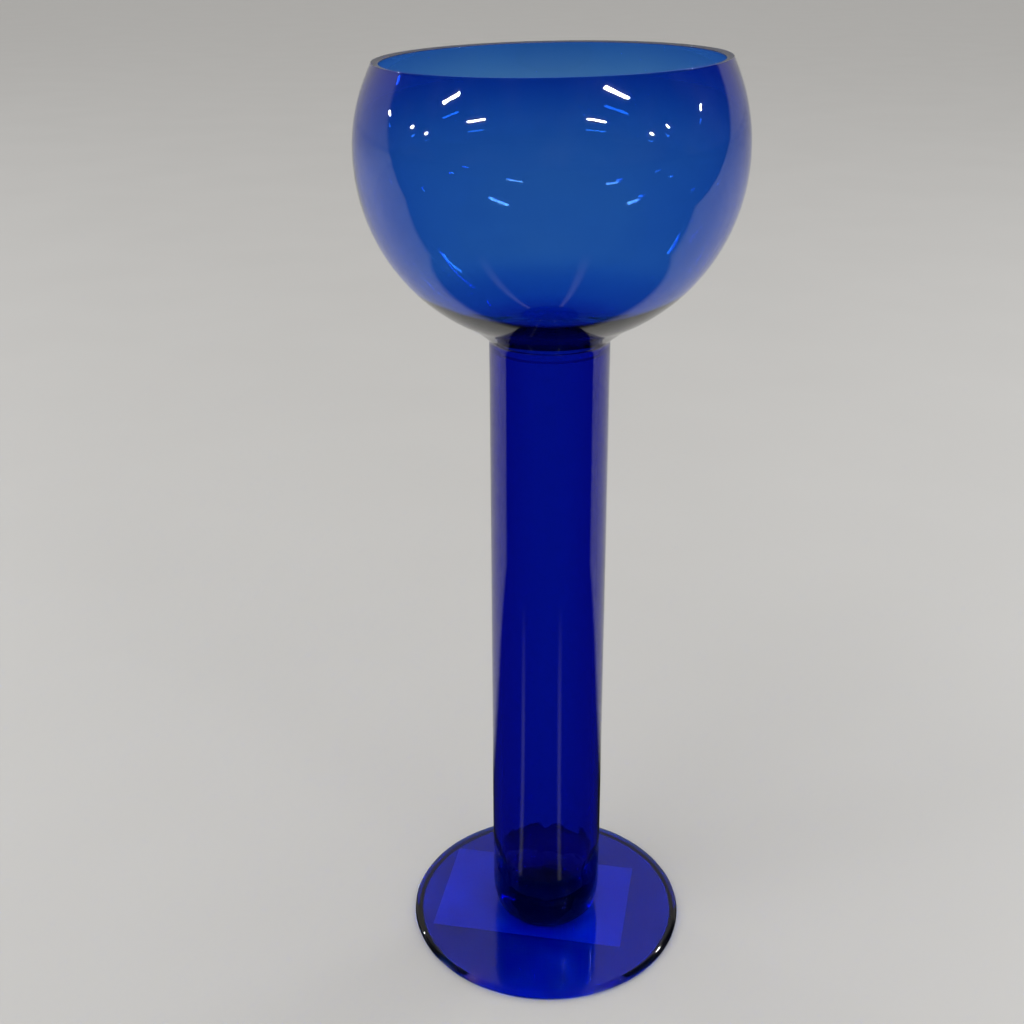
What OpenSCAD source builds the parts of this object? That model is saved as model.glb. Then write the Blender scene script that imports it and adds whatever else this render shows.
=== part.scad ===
// Tall footed vase of blown blue glass, in millimetres.
// A nearly round open bowl with a cut rim flares out of a short neck, and the
// neck is fused to a long hollow stem. The bowl's round bottom closes the stem's
// hollow. The stem is fused through a thin wafer of glass to a flat round foot.
// A blank paper label is stuck in the shallow hollow under the foot.
// The vase stands on z = 0 and its axis is the Z axis.

/* [Bowl] */
// Height of the rim above the table
vase_h = 387.9; // [382:0.1:393]
// Outer radius of the bowl at its equator
bowl_r = 73.7; // [72:0.1:76]
// Height of the rim above the equator
rim_rise = 34.6; // [31:0.1:37]
// Radius of the outer arc from the equator up to the rim
upper_arc_r = 76; // [74:0.1:84]
// Radius of the outer arc from the equator down to the flare
lower_arc_r = 71.4; // [70:0.1:72]
// Width of the cut rim
rim_wall = 3.1; // [2.4:0.1:3.5]
// Fall of the rim's cut face towards the inside, in degrees
rim_fall = 9; // [0:1:12]
// Radius of the rim's two rounded edges
rim_edge_r = 0.2; // [0.1:0.05:0.5]
// Wall of the bowl at its equator
equator_wall = 1.55; // [1.3:0.05:1.8]
// Wall that the sides would keep at the very bottom of the lower arc
lower_wall_t = 0.85; // [0.7:0.05:1.2]
// Radius of the shallow dish that is the bowl's inner floor
floor_dish_r = 80; // [78:1:88]
// Glass under that floor's lowest point
floor_t = 2.6; // [2.2:0.1:3.2]
// Radius that blends the inner floor into the sides
floor_round = 45; // [35:1:48]

/* [Neck] */
// Angle below the equator at which the bowl starts to flare, in degrees
flare_turn = 62; // [60:1:64]
// Radius of the flare's outer curve
flare_r = 55; // [50:1:60]
// Thickness of the glass in the flare
flare_wall = 3; // [2.6:0.1:3.4]
// Radius of the fillet between the flare and the neck
neck_fillet = 2; // [1:0.1:3]
// Straight length of the neck, from the fillet down to the seam with the stem
neck_h = 2.6; // [1.5:0.1:5]

/* [Stem] */
// Outer radius of the stem at its top
stem_top_r = 24; // [22:0.1:25]
// Outer radius of the stem above its rounded base
stem_low_r = 24.8; // [23:0.1:26]
// Wall of the hollow stem
stem_wall = 4.3; // [3:0.1:5]
// Height above the table at which the stem starts to round in
base_round_z = 17; // [15:0.5:20]
// Radius of the long curve at the stem's base
base_curve_r = 30; // [26:0.5:36]
// Radius of the tight corner under that curve
base_corner_r = 4; // [3:0.5:5]
// Thickness of the solid glass under the stem's hollow
stem_floor = 8; // [6:0.5:11]
// Radius of the rounded bottom of the hollow
hollow_round_r = 11; // [8:0.5:14]

/* [Foot] */
// Radius of the foot
foot_r = 62.5; // [60:0.1:66]
// Thickness of the foot
foot_t = 3.9; // [3.4:0.1:5]
// Radius of the foot's rounded edge
foot_edge_r = 1.8; // [1.2:0.1:1.9]
// Depth of the hollow under the foot
foot_hollow = 0.6; // [0.4:0.1:1]
// Width of the ring that the foot rests on
rest_ring_w = 1.6; // [1.2:0.1:2.5]

/* [Joint wafer] */
// Radius of the wafer between the stem and the foot
wafer_r = 20.7; // [19.5:0.1:22]
// Thickness of the wafer
wafer_t = 1.9; // [1.4:0.1:2.4]

/* [Label] */
// Long side of the paper label
label_l = 88; // [60:1:88]
// Short side of the paper label
label_w = 56; // [35:1:56]
// Thickness of the paper
label_t = 0.2; // [0.1:0.05:0.3]
// Label's centre off the axis, to the left
label_off_x = 5; // [0:0.5:5]
// Label's centre off the axis, to the back
label_off_y = 4; // [0:0.5:4]
// Turn of the label about the axis, in degrees clockwise
label_turn = 9; // [0:1:15]

/* [Hidden] */
$fn = 180;

glass_blue = [0.03, 0.12, 0.62];
paper_white = [0.9, 0.9, 0.86];

// Bowl: both outer arcs and both inner arcs meet the equator upright, so
// each of their centres lies in the equator's plane.
equator_z = vase_h - rim_rise;
upper_cx = bowl_r - upper_arc_r;
lower_cx = bowl_r - lower_arc_r;
hollow_r = bowl_r - equator_wall;

// The rim is cut nearly flat, with a small round edge on each side.
out_edge_z = rim_rise - rim_edge_r;
rim_angle = asin(out_edge_z / (upper_arc_r - rim_edge_r));
out_edge_x = upper_cx + (upper_arc_r - rim_edge_r) * cos(rim_angle);
in_edge_z = out_edge_z - rim_wall * tan(rim_fall);
rim_in_r = upper_cx + sqrt(pow(upper_arc_r, 2) - pow(rim_rise, 2)) - rim_wall;
rim_lean = hollow_r - rim_in_r;
upper_in_r = (pow(rim_lean, 2) + pow(rim_rise, 2)) / (2 * rim_lean);
upper_in_cx = hollow_r - upper_in_r;
in_edge_x = upper_in_cx + sqrt(pow(upper_in_r + rim_edge_r, 2) - pow(in_edge_z, 2));

// Inner side of the lower half: a side arc, a blend and the floor's dish.
// The blend circle lies inside the side arc's circle and the dish's circle.
lower_in_r = lower_arc_r - lower_wall_t;
lower_in_cx = hollow_r - lower_in_r;
dish_cz = floor_t + floor_dish_r - lower_arc_r;
side_gap = lower_in_r - floor_round;
dish_gap = floor_dish_r - floor_round;
centre_span = norm([lower_in_cx, dish_cz]);
centre_turn = atan2(-dish_cz, lower_in_cx);
blend_turn = centre_turn + acos((pow(dish_gap, 2) + pow(centre_span, 2) - pow(side_gap, 2))
    / (2 * dish_gap * centre_span));
blend_c = [dish_gap * cos(blend_turn), dish_cz + dish_gap * sin(blend_turn)];
side_turn = atan2(blend_c[1], blend_c[0] - lower_in_cx);

// The flare's circle touches the lower arc, and the fillet touches that circle
// from inside and also the neck's straight side.
neck_r = stem_top_r - stem_wall;
flare_c = [lower_cx, 0] + (lower_arc_r + flare_r) * [cos(flare_turn), -sin(flare_turn)];
fillet_x = stem_top_r + neck_fillet;
fillet_c = [
    fillet_x,
    flare_c[1] + sqrt(pow(flare_r - neck_fillet, 2) - pow(flare_c[0] - fillet_x, 2))
];
flare_end = atan2(fillet_c[1] - flare_c[1], fillet_c[0] - flare_c[0]);
seam_depth = fillet_c[1] - neck_h;
seam_z = equator_z + seam_depth;

// Stem: the base curve, its corner and the hollow's floor.
stem_base_z = foot_t + wafer_t;
base_curve_cx = stem_low_r - base_curve_r;
corner_z = stem_base_z + base_corner_r;
corner_x = base_curve_cx + sqrt(pow(base_curve_r - base_corner_r, 2)
    - pow(base_round_z - corner_z, 2));
corner_turn = atan2(corner_z - base_round_z, corner_x - base_curve_cx);
hollow_z = stem_base_z + stem_floor;
stem_in_low_r = stem_low_r - stem_wall;

// A length that runs past every profile, for cutting them.
reach = bowl_r + 20;

// Upper half of the bowl's wall, in the r-z plane with the equator at 0.
module upper_wall() {
    in_edge = [in_edge_x, in_edge_z];
    out_edge = [out_edge_x, out_edge_z];
    across = out_edge - in_edge;
    face = rim_edge_r / norm(across) * [-across[1], across[0]];
    intersection() {
        difference() {
            translate([upper_cx, 0]) circle(r = upper_arc_r);
            translate([upper_in_cx, 0]) circle(r = upper_in_r);
        }
        polygon([
            [upper_in_cx, 0],
            in_edge,
            out_edge,
            out_edge + reach * [cos(rim_angle), sin(rim_angle)],
            [reach, 0]
        ]);
    }
    polygon([in_edge, out_edge, out_edge + face, in_edge + face]);
    for (edge = [in_edge, out_edge])
        translate(edge) circle(r = rim_edge_r);
}

// Sector of the flare's circle, from the lower arc to the fillet. It is a hair
// larger than the circle that only touches the lower arc, and it is moved back
// a hair, so that no sliver is left along its edges.
module flare_sector() {
    middle = (flare_end + 180 - flare_turn) / 2;
    intersection() {
        translate(flare_c) circle(r = flare_r + 0.002);
        translate(-0.05 * [cos(middle), sin(middle)])
            polygon([
                flare_c,
                flare_c + reach * [cos(flare_end), sin(flare_end)],
                flare_c + reach * [-cos(flare_turn), sin(flare_turn)]
            ]);
    }
}

// Lower half of the bowl with its flare and neck, filled solid down to the seam.
module lower_outline() {
    past_flare = flare_turn + 10;
    intersection() {
        translate([lower_cx, 0]) circle(r = lower_arc_r);
        polygon([
            [lower_cx, 0],
            [lower_cx, 0] + 2 * reach * [cos(past_flare), -sin(past_flare)],
            [2 * reach, 0]
        ]);
    }
    difference() {
        polygon([
            [0, seam_depth],
            [stem_top_r, seam_depth],
            [stem_top_r, fillet_c[1]],
            fillet_c,
            flare_c,
            [lower_cx, 0],
            [0, 0]
        ]);
        translate(fillet_c) circle(r = neck_fillet);
        flare_sector();
    }
}

// Top of the stem's hollow, inside the neck: it widens along the flare, and
// the bowl's round bottom closes it.
module neck_hollow() {
    throat_r = flare_r + flare_wall;
    throat_z = flare_c[1] + sqrt(pow(throat_r, 2) - pow(flare_c[0] - neck_r, 2));
    difference() {
        polygon([
            [0, seam_depth - 1],
            [neck_r, seam_depth - 1],
            [neck_r, throat_z],
            [neck_r + 3, throat_z],
            [neck_r + 6, throat_z + 6],
            [0, throat_z + 6]
        ]);
        translate(flare_c) circle(r = throat_r);
        translate([lower_cx, 0]) circle(r = lower_arc_r);
        translate([0, -lower_arc_r]) square([lower_cx, lower_arc_r]);
    }
}

// Lower half of the bowl's hollow: two circles with their corner blended.
module lower_hollow() {
    side_point = blend_c + floor_round * [cos(side_turn), sin(side_turn)];
    dish_point = blend_c + floor_round * [cos(blend_turn), sin(blend_turn)];
    corner = [side_point[0], dish_point[1]];
    difference() {
        intersection() {
            translate([lower_in_cx, 0]) circle(r = lower_in_r);
            translate([0, dish_cz]) circle(r = floor_dish_r);
        }
        polygon([side_point, dish_point, corner + [0, -1], corner + [1, -1], corner + [1, 0]]);
    }
    translate(blend_c) circle(r = floor_round);
}

module lower_wall() {
    difference() {
        lower_outline();
        lower_hollow();
        neck_hollow();
    }
}

module bowl() {
    color(glass_blue)
        translate([0, 0, equator_z])
        rotate_extrude() {
            upper_wall();
            lower_wall();
        }
}

// Outline of the stem's solid: a slight taper over a rounded base.
module stem_outline() {
    polygon([
        [0, base_round_z],
        [stem_low_r, base_round_z],
        [stem_top_r, seam_z],
        [0, seam_z]
    ]);
    intersection() {
        translate([base_curve_cx, base_round_z]) circle(r = base_curve_r);
        polygon([
            [0, base_round_z],
            [0, stem_base_z],
            [corner_x, stem_base_z],
            [corner_x, corner_z],
            [corner_x + reach * cos(corner_turn), corner_z + reach * sin(corner_turn)],
            [reach, base_round_z]
        ]);
    }
    translate([corner_x, corner_z]) circle(r = base_corner_r);
}

// The stem's hollow: a tapered bore with a rounded bottom, open at the seam.
module stem_hollow() {
    round_c = [stem_in_low_r - hollow_round_r, hollow_z + hollow_round_r];
    polygon([
        [0, hollow_z],
        [round_c[0], hollow_z],
        round_c,
        [stem_in_low_r, round_c[1]],
        [neck_r, seam_z],
        [neck_r, seam_z + 1],
        [0, seam_z + 1]
    ]);
    translate(round_c) circle(r = hollow_round_r);
}

module stem() {
    color(glass_blue)
        rotate_extrude()
        difference() {
            stem_outline();
            stem_hollow();
        }
}

// The wafer is a flat bead: a disc with a round edge.
module joint_wafer() {
    edge_r = wafer_t / 2;
    color(glass_blue)
        translate([0, 0, foot_t])
        rotate_extrude() {
            square([wafer_r - edge_r, wafer_t]);
            translate([wafer_r - edge_r, edge_r])
                intersection() {
                    circle(r = edge_r);
                    translate([0, -edge_r]) square([edge_r, wafer_t]);
                }
        }
}

module foot() {
    core_r = foot_r - foot_edge_r;
    color(glass_blue)
        rotate_extrude()
        difference() {
            union() {
                square([core_r, foot_t]);
                translate([0, foot_edge_r])
                    square([foot_r, foot_t - 2 * foot_edge_r]);
                for (z = [foot_edge_r, foot_t - foot_edge_r])
                    translate([core_r, z]) circle(r = foot_edge_r);
            }
            translate([0, -1])
                square([core_r - rest_ring_w, 1 + foot_hollow]);
        }
}

module foot_label() {
    color(paper_white)
        translate([-label_off_x, label_off_y, foot_hollow - label_t / 2])
        rotate([0, 0, -label_turn])
        cube([label_l, label_w, label_t], center = true);
}

bowl();
stem();
joint_wafer();
foot();
foot_label();
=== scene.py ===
"""A tall footed vase of blown blue glass on a pale floor, in soft studio light.

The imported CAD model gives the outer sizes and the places. The radii and walls
that its boxes can't tell are named below. Each glass piece is turned again here
as a fine closed mesh with the small unevenness of hand work. All lengths are in
metres.
"""
import math

import bmesh
import bpy
from mathutils import Matrix, Vector, noise


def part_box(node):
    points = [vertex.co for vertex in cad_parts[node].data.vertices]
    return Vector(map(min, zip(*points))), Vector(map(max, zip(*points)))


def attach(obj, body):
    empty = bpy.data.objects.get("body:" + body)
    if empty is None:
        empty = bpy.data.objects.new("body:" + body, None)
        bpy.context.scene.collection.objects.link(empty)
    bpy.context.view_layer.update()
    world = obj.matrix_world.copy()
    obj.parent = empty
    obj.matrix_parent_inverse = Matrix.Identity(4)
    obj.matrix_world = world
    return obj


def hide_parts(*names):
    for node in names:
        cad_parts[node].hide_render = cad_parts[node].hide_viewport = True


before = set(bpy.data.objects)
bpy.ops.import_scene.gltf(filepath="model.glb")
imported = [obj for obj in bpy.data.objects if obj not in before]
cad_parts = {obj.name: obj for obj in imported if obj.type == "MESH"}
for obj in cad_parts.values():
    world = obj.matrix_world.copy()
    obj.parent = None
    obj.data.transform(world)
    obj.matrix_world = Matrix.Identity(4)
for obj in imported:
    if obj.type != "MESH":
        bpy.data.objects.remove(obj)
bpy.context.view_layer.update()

scene = bpy.context.scene

MM = 0.001

# --- Sizes ---

# The high corner of each glass piece's box, and both corners of the label's.
foot_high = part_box("foot")[1]
wafer_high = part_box("joint_wafer")[1]
stem_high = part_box("stem")[1]
bowl_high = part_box("bowl")[1]
label_low, label_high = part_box("foot_label")

FOOT_R = foot_high.x
FOOT_T = foot_high.z
FOOT_EDGE_R = 1.8 * MM
FOOT_HOLLOW = 0.6 * MM
REST_RING_W = 1.6 * MM

WAFER_R = wafer_high.x
STEM_BASE_Z = wafer_high.z
STEM_LOW_R = stem_high.x
STEM_TOP_R = 24 * MM
STEM_WALL = 4.3 * MM
STEM_FLOOR = 8 * MM
BASE_ROUND_Z = 17 * MM
BASE_CURVE_R = 30 * MM
BASE_CORNER_R = 4 * MM
HOLLOW_ROUND_R = 11 * MM

SEAM_Z = stem_high.z
RIM_Z = bowl_high.z
RIM_RISE = 34.6 * MM
EQUATOR_Z = RIM_Z - RIM_RISE
BOWL_R = bowl_high.x
UPPER_ARC_R = 76 * MM
LOWER_ARC_R = 71.4 * MM
RIM_WALL = 3.1 * MM
# The cut face of the rim falls inwards by this angle, and both of its edges are rounded.
RIM_FALL = math.radians(9)
RIM_EDGE_R = 0.2 * MM
EQUATOR_WALL = 1.55 * MM
LOWER_WALL_T = 0.85 * MM
FLOOR_DISH_R = 80 * MM
FLOOR_T = 2.6 * MM
FLOOR_ROUND = 45 * MM
# The flare starts at this angle on the lower arc, and curves the other way.
FLARE_START = -62
FLARE_R = 55 * MM
FLARE_WALL = 3 * MM
NECK_FILLET = 2 * MM

LABEL_L = 88 * MM
LABEL_W = 56 * MM
LABEL_STOCK = 0.15 * MM
# The paper lies at least this far under the foot, and sags by up to four times as much.
LABEL_GAP = 0.03 * MM
LABEL_TURN = math.radians(-9)

# Fused pieces are kept this far apart, so that no two glass faces coincide.
FUSE_GAP = 0.01 * MM
# How far the rim is out of level: how steeply it rises towards +X and towards +Y.
RIM_SLOPE = (math.tan(math.radians(0.85)), math.tan(math.radians(0.79)))

# Points in each ring of a turned mesh, and the angle above which an edge is left sharp.
TURNS = 256
SHARP_ANGLE = math.radians(35)


# --- Outlines: lists of (radius, height) points; the last number in each arc and
# line is how many steps it takes ---

def arc(centre, radius, start, end, steps):
    """Points on an arc about centre, from angle start to angle end, in degrees."""
    points = []
    for i in range(steps + 1):
        turn = math.radians(start + (end - start) * i / steps)
        points.append((centre[0] + radius * math.cos(turn), centre[1] + radius * math.sin(turn)))
    return points


def line(start, end, steps):
    """Points from start to end, with both ends left out."""
    return [
        (start[0] + (end[0] - start[0]) * i / steps, start[1] + (end[1] - start[1]) * i / steps)
        for i in range(1, steps)
    ]


def degrees_of(x, y):
    """The angle of a direction, in degrees from +X towards +Y."""
    return math.degrees(math.atan2(y, x))


def bowl_outline():
    """Outer side from the axis under the floor up to the rim, and inner side back to the axis."""
    hollow_r = BOWL_R - EQUATOR_WALL
    upper_c = (BOWL_R - UPPER_ARC_R, EQUATOR_Z)
    lower_c = (BOWL_R - LOWER_ARC_R, EQUATOR_Z)

    # The rim: where its two rounded edges and the cut face between them lie.
    edge_z = RIM_RISE - RIM_EDGE_R
    rim_turn = math.asin(edge_z / (UPPER_ARC_R - RIM_EDGE_R))
    out_edge = (upper_c[0] + (UPPER_ARC_R - RIM_EDGE_R) * math.cos(rim_turn), EQUATOR_Z + edge_z)
    top_r = upper_c[0] + math.sqrt(UPPER_ARC_R ** 2 - RIM_RISE ** 2)
    lean = hollow_r - (top_r - RIM_WALL)
    upper_in_r = (lean ** 2 + RIM_RISE ** 2) / (2 * lean)
    upper_in_c = (hollow_r - upper_in_r, EQUATOR_Z)
    in_edge_z = edge_z - RIM_WALL * math.tan(RIM_FALL)
    rim_in = math.asin(in_edge_z / (upper_in_r + RIM_EDGE_R))
    in_edge = (upper_in_c[0] + (upper_in_r + RIM_EDGE_R) * math.cos(rim_in), EQUATOR_Z + in_edge_z)
    face_turn = 90 + degrees_of(out_edge[0] - in_edge[0], out_edge[1] - in_edge[1])

    # Outside, the flare ends in a small fillet on the neck. Inside, the stem's hollow
    # widens along the flare and is closed by the bowl's round bottom.
    flare_c = arc(lower_c, LOWER_ARC_R + FLARE_R, FLARE_START, FLARE_START, 1)[0]
    fillet_x = STEM_TOP_R + NECK_FILLET
    fillet_rise = math.sqrt((FLARE_R - NECK_FILLET) ** 2 - (flare_c[0] - fillet_x) ** 2)
    fillet_c = (fillet_x, flare_c[1] + fillet_rise)
    flare_end = degrees_of(fillet_c[0] - flare_c[0], fillet_rise)
    seam = SEAM_Z + FUSE_GAP
    bore = STEM_TOP_R - STEM_WALL
    throat_r = FLARE_R + FLARE_WALL
    reach = math.dist(lower_c, flare_c)
    corner_turn = FLARE_START - math.degrees(math.acos(
        (reach ** 2 + LOWER_ARC_R ** 2 - throat_r ** 2) / (2 * reach * LOWER_ARC_R)))
    corner = arc(lower_c, LOWER_ARC_R, corner_turn, corner_turn, 1)[0]
    throat_top = degrees_of(corner[0] - flare_c[0], corner[1] - flare_c[1])
    throat_low = math.degrees(math.acos((bore - flare_c[0]) / throat_r))
    bottom_z = EQUATOR_Z - LOWER_ARC_R

    # Inside, the side and the shallow dish of the floor are joined by a rounded bend.
    lower_in_r = LOWER_ARC_R - LOWER_WALL_T
    lower_in_c = (hollow_r - lower_in_r, EQUATOR_Z)
    dish_c = (0, bottom_z + FLOOR_T + FLOOR_DISH_R)
    side_gap = lower_in_r - FLOOR_ROUND
    dish_gap = FLOOR_DISH_R - FLOOR_ROUND
    span = math.dist(lower_in_c, dish_c)
    bend = math.acos((dish_gap ** 2 + span ** 2 - side_gap ** 2) / (2 * dish_gap * span))
    floor_turn = degrees_of(lower_in_c[0], EQUATOR_Z - dish_c[1]) + math.degrees(bend)
    blend_c = arc(dish_c, dish_gap, floor_turn, floor_turn, 1)[0]
    side_turn = degrees_of(blend_c[0] - lower_in_c[0], blend_c[1] - EQUATOR_Z)

    outside = [(0, bottom_z)] + arc(lower_c, LOWER_ARC_R, -90, corner_turn, 24)
    outside += arc(flare_c, throat_r, throat_top, throat_low, 6)[1:]
    outside += line(outside[-1], (bore, seam), 4) + [(bore, seam)]
    outside += line((bore, seam), (STEM_TOP_R, seam), 4) + [(STEM_TOP_R, seam)]
    outside += arc(fillet_c, NECK_FILLET, 180, flare_end, 12)
    outside += arc(flare_c, FLARE_R, flare_end, 180 + FLARE_START, 24)[1:]
    outside += arc(lower_c, LOWER_ARC_R, FLARE_START, 0, 80)[1:]
    outside += arc(upper_c, UPPER_ARC_R, 0, math.degrees(rim_turn), 40)[1:]
    outside += arc(out_edge, RIM_EDGE_R, math.degrees(rim_turn), face_turn, 6)[1:]
    inside = arc(in_edge, RIM_EDGE_R, face_turn, 180 + math.degrees(rim_in), 8)
    inside = line(outside[-1], inside[0], 6) + inside
    inside += arc(upper_in_c, upper_in_r, math.degrees(rim_in), 0, 40)[1:]
    inside += arc(lower_in_c, lower_in_r, 0, side_turn, 70)[1:]
    inside += arc(blend_c, FLOOR_ROUND, side_turn, floor_turn, 8)[1:]
    inside += arc(dish_c, FLOOR_DISH_R, floor_turn, -90, 40)[1:]
    inside[-1] = (0, inside[-1][1])
    return outside, inside


def stem_outline():
    """A tube with a closed, rounded bottom: its outer side up, and its inner side back down."""
    curve_c = (STEM_LOW_R - BASE_CURVE_R, BASE_ROUND_Z)
    corner_z = STEM_BASE_Z + BASE_CORNER_R
    corner_reach = BASE_CURVE_R - BASE_CORNER_R
    corner_x = curve_c[0] + math.sqrt(corner_reach ** 2 - (BASE_ROUND_Z - corner_z) ** 2)
    corner_turn = degrees_of(corner_x - curve_c[0], corner_z - BASE_ROUND_Z)
    base_z = STEM_BASE_Z + FUSE_GAP
    top_z = SEAM_Z - FUSE_GAP
    hollow_z = STEM_BASE_Z + STEM_FLOOR
    bore_low = STEM_LOW_R - STEM_WALL
    bore_top = STEM_TOP_R - STEM_WALL
    low_c = (bore_low - HOLLOW_ROUND_R, hollow_z + HOLLOW_ROUND_R)

    outside = [(0, base_z)] + line((0, base_z), (corner_x, base_z), 14) + [(corner_x, base_z)]
    outside += arc((corner_x, corner_z), BASE_CORNER_R, -90, corner_turn, 14)[1:]
    outside += arc(curve_c, BASE_CURVE_R, corner_turn, 0, 14)[1:]
    outside += line((STEM_LOW_R, BASE_ROUND_Z), (STEM_TOP_R, top_z), 120)
    outside += [(STEM_TOP_R, top_z)] + line((STEM_TOP_R, top_z), (bore_top, top_z), 4)
    inside = [(bore_top, top_z)] + line((bore_top, top_z), (bore_low, low_c[1]), 120)
    inside += arc(low_c, HOLLOW_ROUND_R, 0, -90, 30)
    inside += line((low_c[0], hollow_z), (0, hollow_z), 8)
    inside.append((0, hollow_z))
    return outside, inside


def wafer_outline():
    """A solid disc with a full round edge."""
    edge_r = (STEM_BASE_Z - FOOT_T) / 2 - FUSE_GAP
    middle = (WAFER_R - edge_r, FOOT_T + edge_r + FUSE_GAP)
    low = (0, middle[1] - edge_r)
    high = (0, middle[1] + edge_r)
    outside = [low] + line(low, (middle[0], low[1]), 14)
    outside += arc(middle, edge_r, -90, 90, 16)
    outside += line((middle[0], high[1]), high, 14) + [high]
    return outside, []


def foot_outline():
    """A disc with a rounded edge, hollow underneath inside the ring that it rests on."""
    core_r = FOOT_R - FOOT_EDGE_R
    hollow_r = core_r - REST_RING_W
    roof_r = hollow_r - FOOT_HOLLOW
    top = FOOT_T - FUSE_GAP
    outside = [(0, FOOT_HOLLOW)] + line((0, FOOT_HOLLOW), (roof_r, FOOT_HOLLOW), 40)
    outside += arc((roof_r, 0), FOOT_HOLLOW, 90, 0, 6)
    outside += line((hollow_r, 0), (core_r, 0), 3)
    outside += arc((core_r, FOOT_EDGE_R), FOOT_EDGE_R, -90, 0, 12)
    outside += arc((core_r, top - FOOT_EDGE_R), FOOT_EDGE_R, 0, 90, 12)
    outside += line((core_r, top), (0, top), 60) + [(0, top)]
    return outside, []


# --- Meshes ---

def ripple(x, y, z, wave, seed):
    """Smooth noise from -1 to 1 that repeats no pattern; wave is its length scale."""
    return noise.noise(Vector((x, y, z)) / wave + Vector((seed, seed * 0.7, -seed * 1.3)))


def placed(name, bm):
    """Puts a finished mesh into the scene as a piece."""
    mesh = bpy.data.meshes.new(name)
    bm.to_mesh(mesh)
    bm.free()
    piece = bpy.data.objects.new(name, mesh)
    scene.collection.objects.link(piece)
    return piece


# Nearer to the axis than this, a ring is a single point.
AXIS_R = 1e-9


def turned(name, outline, hand):
    """Turns an outline, which starts and ends on the Z axis, into one closed mesh.

    hand(x, y, z, inner) gives each point's small shift as (outwards, upwards).
    """
    outside, inside = outline
    points = [(r, z, False) for r, z in outside] + [(r, z, True) for r, z in inside]
    bm = bmesh.new()
    rings = []
    for r, z, inner in points:
        if r < AXIS_R:
            rings.append([bm.verts.new((0, 0, z))])
            continue
        ring = []
        for i in range(TURNS):
            turn = 2 * math.pi * i / TURNS
            cos, sin = math.cos(turn), math.sin(turn)
            out, up = hand(r * cos, r * sin, z, inner)
            ring.append(bm.verts.new(((r + out) * cos, (r + out) * sin, z + up)))
        rings.append(ring)
    for low, high in zip(rings, rings[1:]):
        for i in range(TURNS):
            j = (i + 1) % TURNS
            corners = [low[i % len(low)], low[j % len(low)], high[j % len(high)], high[i % len(high)]]
            # At the axis two corners are the same point, and the face is a triangle.
            bm.faces.new(list(dict.fromkeys(corners)))
    bmesh.ops.recalc_face_normals(bm, faces=bm.faces)
    for face in bm.faces:
        face.smooth = True
    for edge in bm.edges:
        if len(edge.link_faces) == 2 and edge.calc_face_angle() > SHARP_ANGLE:
            edge.smooth = False
    return placed(name, bm)


def ease(value, start, end):
    """0 below start, 1 above end, and a smooth step between them."""
    t = min(max((value - start) / (end - start), 0), 1)
    return t * t * (3 - 2 * t)


# The rim's outer radius, at which the rim's high point touches the frame's top.
RIM_R = 65.4 * MM


def bowl_hand(x, y, z, inner):
    """The rim is a little out of level, and both sides of the wall are slightly wavy."""
    up_to_rim = ease(z, EQUATOR_Z, RIM_Z)
    drop = RIM_SLOPE[0] * x + RIM_SLOPE[1] * y - math.hypot(*RIM_SLOPE) * RIM_R
    drop *= up_to_rim
    away = ease(z, SEAM_Z, SEAM_Z + 12 * MM) * (1 - up_to_rim)
    shape = -0.05 * MM * (1 + ripple(x, y, z, wave=70 * MM, seed=3)) * away
    if inner:
        shape += 0.07 * MM * ripple(x, y, z, wave=24 * MM, seed=11) * away
    return shape, drop


# The tool marks are full below the first height, and gone at the second.
TOOLED_FADE = (12 * MM, 22 * MM)
# The hollow's lumps are full below the first height, and gone at the second.
LUMPS_FADE = (22 * MM, 52 * MM)


def stem_hand(x, y, z, inner):
    """Long drawn ripples, tool marks around the base, and a lumpy floor to the hollow."""
    off_seam = ease(SEAM_Z - z, 0, 15 * MM)
    if not inner:
        off_base = ease(z, STEM_BASE_Z, BASE_ROUND_Z)
        drawn = 0.05 * MM * (1 + ripple(x, y, z / 3, wave=30 * MM, seed=5)) * off_seam * off_base
        tooled = 0.22 * MM * (1 + ripple(x, y, z, wave=3.5 * MM, seed=27))
        tooled *= ease(z, STEM_BASE_Z, STEM_BASE_Z + 2 * MM)
        tooled *= ease(-z, -TOOLED_FADE[1], -TOOLED_FADE[0])
        return -drawn - tooled, 0
    out = 0.10 * MM * ripple(x, y, z / 6, wave=13 * MM, seed=8) * off_seam
    lump = ease(-z, -LUMPS_FADE[1], -LUMPS_FADE[0])
    out += 0.5 * MM * ripple(x, y, z, wave=6 * MM, seed=21) * lump
    return out, 0.7 * MM * ripple(x, y, z, wave=7 * MM, seed=34) * lump


def wafer_hand(x, y, z, inner):
    """An uneven edge, drawn in by up to 0.7 mm."""
    rim = ease(math.hypot(x, y), WAFER_R - 3 * MM, WAFER_R)
    return -0.35 * MM * rim * (1 - ripple(x, y, z, wave=5 * MM, seed=17)), 0


def foot_hand(x, y, z, inner):
    """A fire-polished edge that is not quite even; the underside's height stays level."""
    rim = ease(math.hypot(x, y), FOOT_R - 6 * MM, FOOT_R)
    out = -0.12 * MM * rim * (1 + ripple(x, y, z, wave=9 * MM, seed=41))
    if z < FOOT_T / 2:
        return out, 0
    return out, -0.10 * MM * rim * (1 + ripple(x, y, z, wave=14 * MM, seed=43))


# --- Materials ---

def new_material(name):
    """An empty node material, and its node tree."""
    material = bpy.data.materials.new(name)
    material.use_nodes = True
    tree = material.node_tree
    tree.nodes.clear()
    return material, tree


def add(tree, kind, **inputs):
    """Adds a node; each keyword sets the socket of that name, with _ for a space."""
    node = tree.nodes.new(kind)
    for key, value in inputs.items():
        node.inputs[key.replace("_", " ")].default_value = value
    return node


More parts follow.
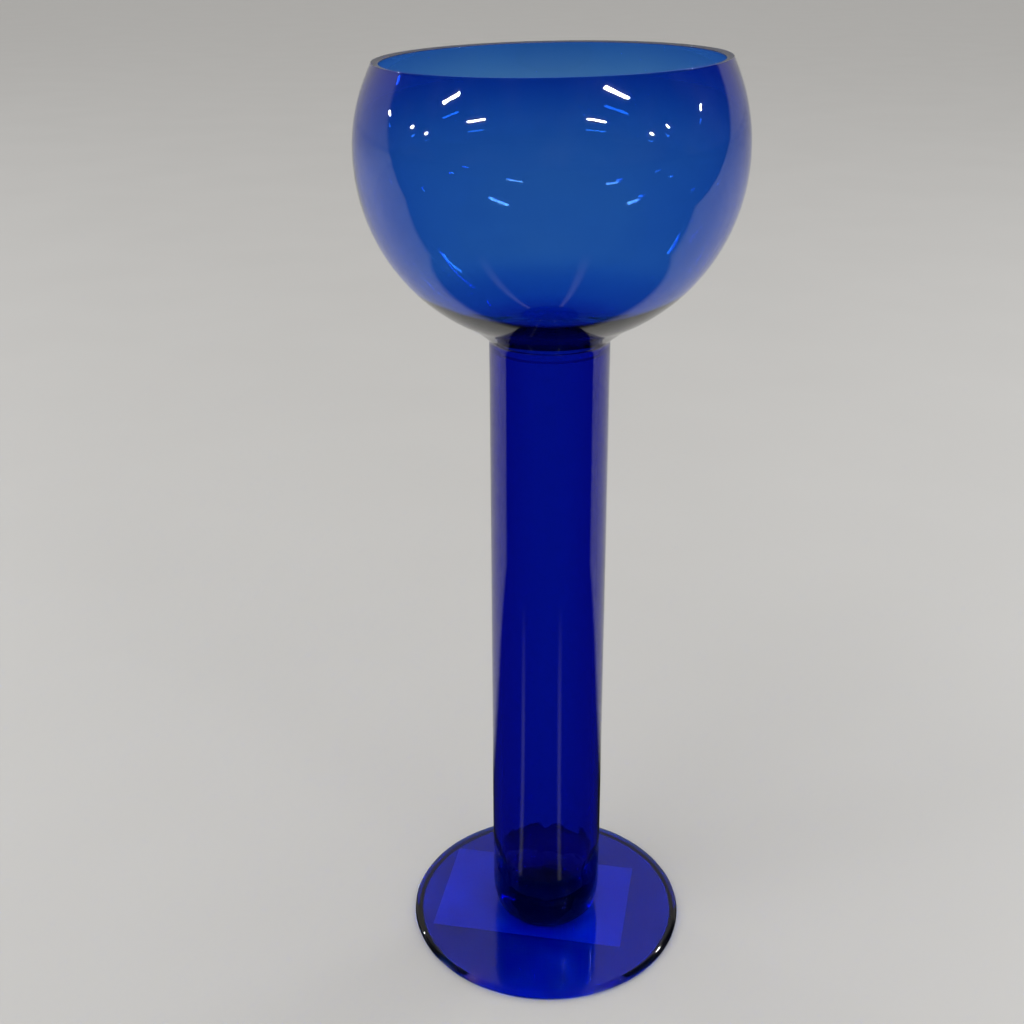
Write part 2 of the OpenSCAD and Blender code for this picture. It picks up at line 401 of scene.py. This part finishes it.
def noise_of(tree, scale, detail, stretch=(1, 1, 1)):
    """Noise in the object's own metres."""
    place = add(tree, "ShaderNodeTexCoord")
    mapping = add(tree, "ShaderNodeMapping", Scale=stretch)
    texture = add(tree, "ShaderNodeTexNoise", Scale=scale, Detail=detail)
    tree.links.new(place.outputs["Object"], mapping.inputs["Vector"])
    tree.links.new(mapping.outputs["Vector"], texture.inputs["Vector"])
    return texture.outputs["Fac"]


def ramp_of(tree, source, low, high):
    """Colours from low to high, over the middle of the range that noise fills."""
    ramp = add(tree, "ShaderNodeValToRGB")
    start, end = ramp.color_ramp.elements
    start.position, start.color = 0.35, (*low, 1)
    end.position, end.color = 0.65, (*high, 1)
    tree.links.new(source, ramp.inputs["Fac"])
    return ramp.outputs["Color"]


def spread(tree, source, low, high):
    """Maps a 0 to 1 source to numbers from low to high."""
    node = add(tree, "ShaderNodeMapRange", To_Min=low, To_Max=high)
    tree.links.new(source, node.inputs["Value"])
    return node.outputs["Result"]


def joined(tree, operation, first, second):
    """One sum on two sources; each is a number or a socket."""
    node = tree.nodes.new("ShaderNodeMath")
    node.operation = operation
    for socket, source in zip(node.inputs, (first, second)):
        if isinstance(source, (int, float)):
            socket.default_value = source
        else:
            tree.links.new(source, socket)
    return node.outputs["Value"]


def along(tree, vector, direction):
    """How far a vector reaches along a direction."""
    node = tree.nodes.new("ShaderNodeVectorMath")
    node.operation = "DOT_PRODUCT"
    node.inputs[1].default_value = direction
    tree.links.new(vector, node.inputs[0])
    return node.outputs["Value"]


def mixed(tree, factor, low, high):
    """Mixes two colours, each given as numbers or as a socket."""
    mix = add(tree, "ShaderNodeMixRGB")
    tree.links.new(factor, mix.inputs["Fac"])
    for socket, colour in (("Color1", low), ("Color2", high)):
        if isinstance(colour, tuple):
            mix.inputs[socket].default_value = (*colour, 1)
        else:
            tree.links.new(colour, mix.inputs[socket])
    return mix.outputs["Color"]


# How strongly a metre of the glass takes away red, green and blue.
GLASS_TAKES = (1190, 565, 101)
# The volume's density is a little over the largest of these, as each colour of a
# volume has to be above 0.
GLASS_DENSITY = max(GLASS_TAKES) * 1.05
SKIN_ROUGHNESS = (0.012, 0.03)
# Added to the skin's roughness where the rim was ground.
GROUND_ROUGHNESS = 0.45
# A face counts as looking up when its normal's height is above this.
LOOKS_UP = 0.85


def glass(name, stretch=(1, 1, 1), bump=0.02, ground_above=None):
    """Clear blue glass: absorption in its depth, faint cords and a fire-polished skin.

    Faces that look up and lie above the height ground_above are ground dull.
    """
    material, tree = new_material(name)
    shader = add(tree, "ShaderNodeBsdfPrincipled", IOR=1.5, Metallic=0.0)
    shader.inputs["Transmission Weight"].default_value = 1.0
    cords = noise_of(tree, scale=60, detail=3, stretch=stretch)
    tint = ramp_of(tree, cords, (0.955, 0.97, 0.995), (1, 1, 1))
    tree.links.new(tint, shader.inputs["Base Color"])
    skin = spread(tree, noise_of(tree, scale=35, detail=5), *SKIN_ROUGHNESS)
    if ground_above is not None:
        place = add(tree, "ShaderNodeTexCoord")
        height = along(tree, place.outputs["Object"], (0, 0, 1))
        slant = along(tree, place.outputs["Normal"], (0, 0, 1))
        high = joined(tree, "GREATER_THAN", height, ground_above)
        level = joined(tree, "GREATER_THAN", slant, LOOKS_UP)
        ground = joined(tree, "MULTIPLY", joined(tree, "MULTIPLY", high, level), GROUND_ROUGHNESS)
        skin = joined(tree, "ADD", skin, ground)
    tree.links.new(skin, shader.inputs["Roughness"])
    ripples = add(tree, "ShaderNodeBump", Strength=bump, Distance=0.2 * MM)
    relief = noise_of(tree, scale=120, detail=2, stretch=stretch)
    tree.links.new(relief, ripples.inputs["Height"])
    tree.links.new(ripples.outputs["Normal"], shader.inputs["Normal"])

    kept = tuple(1 - take / GLASS_DENSITY for take in GLASS_TAKES)
    depth = add(tree, "ShaderNodeVolumeAbsorption", Color=(*kept, 1), Density=GLASS_DENSITY)
    out = add(tree, "ShaderNodeOutputMaterial")
    tree.links.new(shader.outputs["BSDF"], out.inputs["Surface"])
    tree.links.new(depth.outputs["Volume"], out.inputs["Volume"])
    return material


def paper(name):
    """Uncoated white paper with fibres and a faint unevenness."""
    material, tree = new_material(name)
    shader = add(tree, "ShaderNodeBsdfPrincipled", Roughness=0.9)
    fibres = noise_of(tree, scale=900, detail=8, stretch=(1, 3, 1))
    white = ramp_of(tree, fibres, (0.84, 0.84, 0.81), (0.92, 0.92, 0.89))
    tree.links.new(white, shader.inputs["Base Color"])
    tree.links.new(spread(tree, fibres, 0.82, 0.95), shader.inputs["Roughness"])
    relief = add(tree, "ShaderNodeBump", Strength=0.25, Distance=0.05 * MM)
    tree.links.new(fibres, relief.inputs["Height"])
    tree.links.new(relief.outputs["Normal"], shader.inputs["Normal"])
    out = add(tree, "ShaderNodeOutputMaterial")
    tree.links.new(shader.outputs["BSDF"], out.inputs["Surface"])
    return material


# --- Pieces ---


def dress(piece, node, material):
    """The piece stands for a CAD node, which it hides; it takes the given material and rides on the
    root.
    """
    piece.data.materials.append(material)
    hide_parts(node)
    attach(piece, "root")


def label_sheet(name):
    """A thin paper rectangle that follows the hollow underside of the foot."""
    across, deep = 44, 28
    centre = (label_low + label_high) / 2
    rest = FOOT_HOLLOW - LABEL_GAP
    bm = bmesh.new()
    sides = []
    for drop in (0, LABEL_STOCK):
        grid = []
        for j in range(deep + 1):
            row = []
            for i in range(across + 1):
                x = (i / across - 0.5) * LABEL_L
                y = (j / deep - 0.5) * LABEL_W
                sag = 2 * LABEL_GAP * (1 + ripple(x, y, 0, wave=18 * MM, seed=51))
                row.append(bm.verts.new((x, y, rest - drop - sag)))
            grid.append(row)
        sides.append(grid)
    for grid in sides:
        for j in range(deep):
            for i in range(across):
                bm.faces.new((grid[j][i], grid[j][i + 1], grid[j + 1][i + 1], grid[j + 1][i]))
    top, low = sides
    edge = [(0, i) for i in range(across)]
    edge += [(j, across) for j in range(deep)]
    edge += [(deep, i) for i in range(across, 0, -1)]
    edge += [(j, 0) for j in range(deep, 0, -1)]
    for here, there in zip(edge, edge[1:] + edge[:1]):
        bm.faces.new((top[here[0]][here[1]], top[there[0]][there[1]],
                      low[there[0]][there[1]], low[here[0]][here[1]]))
    bmesh.ops.recalc_face_normals(bm, faces=bm.faces)
    stuck = Matrix.Translation((centre.x, centre.y, 0)) @ Matrix.Rotation(LABEL_TURN, 4, "Z")
    bmesh.ops.transform(bm, verts=bm.verts, matrix=stuck)
    return placed(name, bm)


def build_vase():
    """Each piece's mesh, the CAD node that it stands for, and its material."""
    drawn = (1, 1, 0.12)
    dress(turned("bowl_blown", bowl_outline(), bowl_hand), "bowl",
          glass("bowl_glass_blue", ground_above=RIM_Z - 6 * MM))
    dress(turned("stem_blown", stem_outline(), stem_hand), "stem",
          glass("stem_glass_blue", stretch=drawn, bump=0.03))
    dress(turned("joint_wafer_fused", wafer_outline(), wafer_hand), "joint_wafer",
          glass("wafer_glass_blue", bump=0.1))
    dress(turned("foot_disc", foot_outline(), foot_hand), "foot",
          glass("foot_glass_blue", bump=0.03))
    dress(label_sheet("foot_label_paper"), "foot_label", paper("label_paper_white"))


# --- Stage, light and camera ---

# In the glass's shine, the pale wall and floor are seen only behind the vase. These
# planes bound them, each as a direction that points in and a distance in metres.
PALE_WALL = (((0.225, 0.974, -0.5), 0), ((-0.5, 0.866, -0.5), 0))
PALE_FLOOR = (((0, 1, 0), 0), ((0.225, 0.974, 0), 0.25), ((-0.5, 0.866, 0), 0.47))
# Close to the vase, the painted dark front that the glass reflects has a round end, this far to each
# side of the vase's axis and this far behind it.
FRONT_HALF_W = 0.41
FRONT_REACH = 0.115
# Half the width of the soft edge of the dark front, on the floor and in the sky.
FLOOR_BLUR = 0.02
SKY_BLUR = 0.03
# Directions on the floor, in degrees from straight in front, of the bright streaks painted into its
# reflection.
PAINTED_FLOOR_STREAKS = (-48, 24)
# A streak is full up to the first of these and gone at the second: how far aside, as a
# share of the distance from the vase, and how far from the vase.
STREAK_SLOPES = (0.02, 0.09)
STREAK_END = (0.2, 0.36)

# The floor, the light from above, and the pale wall that is seen behind the vase. Then
# what only the shine on the glass shows: the dim room, and the floor in front as a painted
# reflection, glowing dark with bright painted streaks.
FLOOR_SIZE = 80
FLOOR_TINTS = ((0.440, 0.433, 0.421), (0.449, 0.442, 0.430))
SKY = (1.0, 0.992, 0.977)
HORIZON = (0.445, 0.434, 0.413)
ROOM_DARK = (0.02, 0.021, 0.025)
ROOM_PALE = (0.10, 0.10, 0.11)
# Painted reflection: in the glass's shine the floor in front glows this dark, and this bright along
# its painted streaks.
PAINTED_FRONT_DARK = (0.02, 0.02, 0.02)
PAINTED_STREAK_BRIGHT = (0.42, 0.42, 0.44)


def least(tree, vector, planes):
    """How far a vector lies inside the nearest of some planes."""
    inside = None
    for direction, distance in planes:
        depth = joined(tree, "ADD", along(tree, vector, direction), distance)
        inside = depth if inside is None else joined(tree, "MINIMUM", inside, depth)
    return inside


def painted_streak(tree, place, turn):
    """The mask of a painted streak: 1 on a narrow radial line on the floor in front of the vase, and
    0 beside it.
    """
    sin, cos = math.sin(math.radians(turn)), math.cos(math.radians(turn))
    out = joined(tree, "MAXIMUM", along(tree, place, (sin, -cos, 0)), MM)
    aside = joined(tree, "ABSOLUTE", along(tree, place, (cos, sin, 0)), 0)
    side_fade = add(tree, "ShaderNodeMapRange", From_Min=STREAK_SLOPES[1], From_Max=STREAK_SLOPES[0])
    far_fade = add(tree, "ShaderNodeMapRange", From_Min=STREAK_END[1], From_Max=STREAK_END[0])
    tree.links.new(joined(tree, "DIVIDE", aside, out), side_fade.inputs["Value"])
    tree.links.new(out, far_fade.inputs["Value"])
    return joined(tree, "MULTIPLY", side_fade.outputs["Result"], far_fade.outputs["Result"])


def reflected_rays(tree):
    """1 for a ray that a shiny surface threw back, and 0 for every other ray."""
    path = add(tree, "ShaderNodeLightPath")
    off_glass = joined(tree, "SUBTRACT", 1, path.outputs["Is Transmission Ray"])
    return joined(tree, "MULTIPLY", path.outputs["Is Glossy Ray"], off_glass)


def floor_material(name):
    """Plain pale floor. Seen in the glass's own shine, it glows as a painted reflection: dark in
    front, with bright painted streaks.
    """
    material, tree = new_material(name)
    shader = add(tree, "ShaderNodeBsdfPrincipled", Roughness=0.7)
    cloudy = ramp_of(tree, noise_of(tree, scale=6, detail=4), *FLOOR_TINTS)
    tree.links.new(cloudy, shader.inputs["Base Color"])
    place = add(tree, "ShaderNodeNewGeometry").outputs["Position"]
    front = add(tree, "ShaderNodeMapRange", From_Min=FLOOR_BLUR, From_Max=-FLOOR_BLUR)
    aside = joined(tree, "ABSOLUTE", along(tree, place, (1 / FRONT_HALF_W, 0, 0)), 0)
    bulge = joined(tree, "MULTIPLY", joined(tree, "POWER", aside, 4), FRONT_REACH)
    past_bulge = joined(tree, "ADD", bulge, along(tree, place, (0, 1, 0)))
    past_bulge = joined(tree, "SUBTRACT", past_bulge, FRONT_REACH)
    pale = joined(tree, "MINIMUM", past_bulge, least(tree, place, PALE_FLOOR))
    tree.links.new(pale, front.inputs["Value"])
    share = joined(tree, "MULTIPLY", front.outputs["Result"], reflected_rays(tree))
    shine = joined(tree, "MAXIMUM", *(painted_streak(tree, place, turn) for turn in PAINTED_FLOOR_STREAKS))
    # Painted reflection: an emission that only the glass's shine sees on the floor in front, dark
    # with bright painted streaks.
    painted_glow = add(tree, "ShaderNodeEmission")
    tree.links.new(mixed(tree, shine, PAINTED_FRONT_DARK, PAINTED_STREAK_BRIGHT), painted_glow.inputs["Color"])
    mix = add(tree, "ShaderNodeMixShader")
    out = add(tree, "ShaderNodeOutputMaterial")
    tree.links.new(share, mix.inputs["Fac"])
    tree.links.new(shader.outputs["BSDF"], mix.inputs[1])
    tree.links.new(painted_glow.outputs["Emission"], mix.inputs[2])
    tree.links.new(mix.outputs["Shader"], out.inputs["Surface"])
    return material


def build_floor():
    """One wide plane under the vase."""
    bpy.ops.mesh.primitive_plane_add(size=FLOOR_SIZE, location=(0, 0, 0))
    floor = bpy.context.object
    floor.name = "studio_floor"
    floor.data.materials.append(floor_material("floor_pale_painted_reflection"))


def build_world():
    """Even pale light; the shine on the glass shows a dim room in front instead."""
    world = bpy.data.worlds.new("studio")
    world.use_nodes = True
    tree = world.node_tree
    tree.nodes.clear()
    place = add(tree, "ShaderNodeTexCoord")
    ray = place.outputs["Generated"]
    behind = add(tree, "ShaderNodeMapRange", From_Min=-SKY_BLUR, From_Max=SKY_BLUR)
    tree.links.new(least(tree, ray, PALE_WALL), behind.inputs["Value"])
    clutter = add(tree, "ShaderNodeTexNoise", Scale=3.5, Detail=2)
    tree.links.new(ray, clutter.inputs["Vector"])
    dim = add(tree, "ShaderNodeMapRange", From_Min=0.45, From_Max=0.75)
    tree.links.new(clutter.outputs["Fac"], dim.inputs["Value"])
    room = mixed(tree, dim.outputs["Result"], ROOM_DARK, ROOM_PALE)
    path = add(tree, "ShaderNodeLightPath")
    background = add(tree, "ShaderNodeBackground", Strength=1.0)
    out = add(tree, "ShaderNodeOutputWorld")
    shine = mixed(tree, behind.outputs["Result"], room, HORIZON)
    seen = mixed(tree, reflected_rays(tree), HORIZON, shine)
    colour = mixed(tree, path.outputs["Is Diffuse Ray"], seen, SKY)
    tree.links.new(colour, background.inputs["Color"])
    tree.links.new(background.outputs["Background"], out.inputs["Surface"])
    scene.world = world


def area_light(name, place, size, power, target=None):
    """A rectangular light at place; it faces target, or straight down."""
    data = bpy.data.lights.new(name, "AREA")
    data.shape = "RECTANGLE"
    data.size, data.size_y = size
    data.energy = power
    lamp = bpy.data.objects.new(name, data)
    lamp.location = place
    if target is not None:
        lamp.rotation_euler = (Vector(target) - Vector(place)).to_track_quat("-Z", "Y").to_euler()
    scene.collection.objects.link(lamp)
    return lamp


# The ceiling strips stand in rows and columns, all turned a little about the vertical.
STRIP_HEIGHT = 2.3
STRIP_SIZE = (0.9, 0.10)
STRIP_COLUMNS = (-8.2, -2.95, 1.75, 6.7)
STRIP_ROWS = (-3.3, -1.65, 1.6)
STRIP_TURN = math.radians(-7.4)
STRIP_POWER = 200
SOFT_PLACE = (-1.1, -0.9, 1.9)
SOFT_SIZE = (1.6, 1.6)
SOFT_POWER = 13.6
SOFT_TARGET = (0, 0, 0.15)


def build_lights():
    """Ceiling strips that only glass can show, and one big soft light for the shadows."""
    for row in STRIP_ROWS:
        for column in STRIP_COLUMNS:
            place = (column, row + column * math.tan(STRIP_TURN), STRIP_HEIGHT)
            strip = area_light("ceiling_strip", place, STRIP_SIZE, STRIP_POWER)
            strip.rotation_euler.z = STRIP_TURN
            strip.visible_diffuse = False
            strip.visible_volume_scatter = False
    soft = area_light("soft_key", SOFT_PLACE, SOFT_SIZE, SOFT_POWER, target=SOFT_TARGET)
    soft.visible_glossy = False
    soft.visible_transmission = False


# The camera stands in front of the vase and above its rim, looking down; it is turned a
# little to the left, and rolled.
CAMERA_PLACE = Vector((0, -0.4997, 0.4275))
CAMERA_DOWN = math.radians(23.861)
CAMERA_LEFT = math.radians(1.748)
CAMERA_ROLL = math.radians(-0.319)
CAMERA_LENS = 46.0


def build_camera():
    """The one camera, which the scene uses."""
    data = bpy.data.cameras.new("camera")
    data.lens = CAMERA_LENS
    data.sensor_width = 36
    data.clip_start = 0.01
    camera = bpy.data.objects.new("camera", data)
    turn = Matrix.Rotation(CAMERA_LEFT, 4, "Z")
    tip = Matrix.Rotation(math.pi / 2 - CAMERA_DOWN, 4, "X")
    roll = Matrix.Rotation(CAMERA_ROLL, 4, "Z")
    camera.matrix_world = Matrix.Translation(CAMERA_PLACE) @ turn @ tip @ roll
    scene.collection.objects.link(camera)
    scene.camera = camera


build_camera()
build_vase()
build_floor()
build_world()
build_lights()
scene.view_settings.view_transform = "Standard"
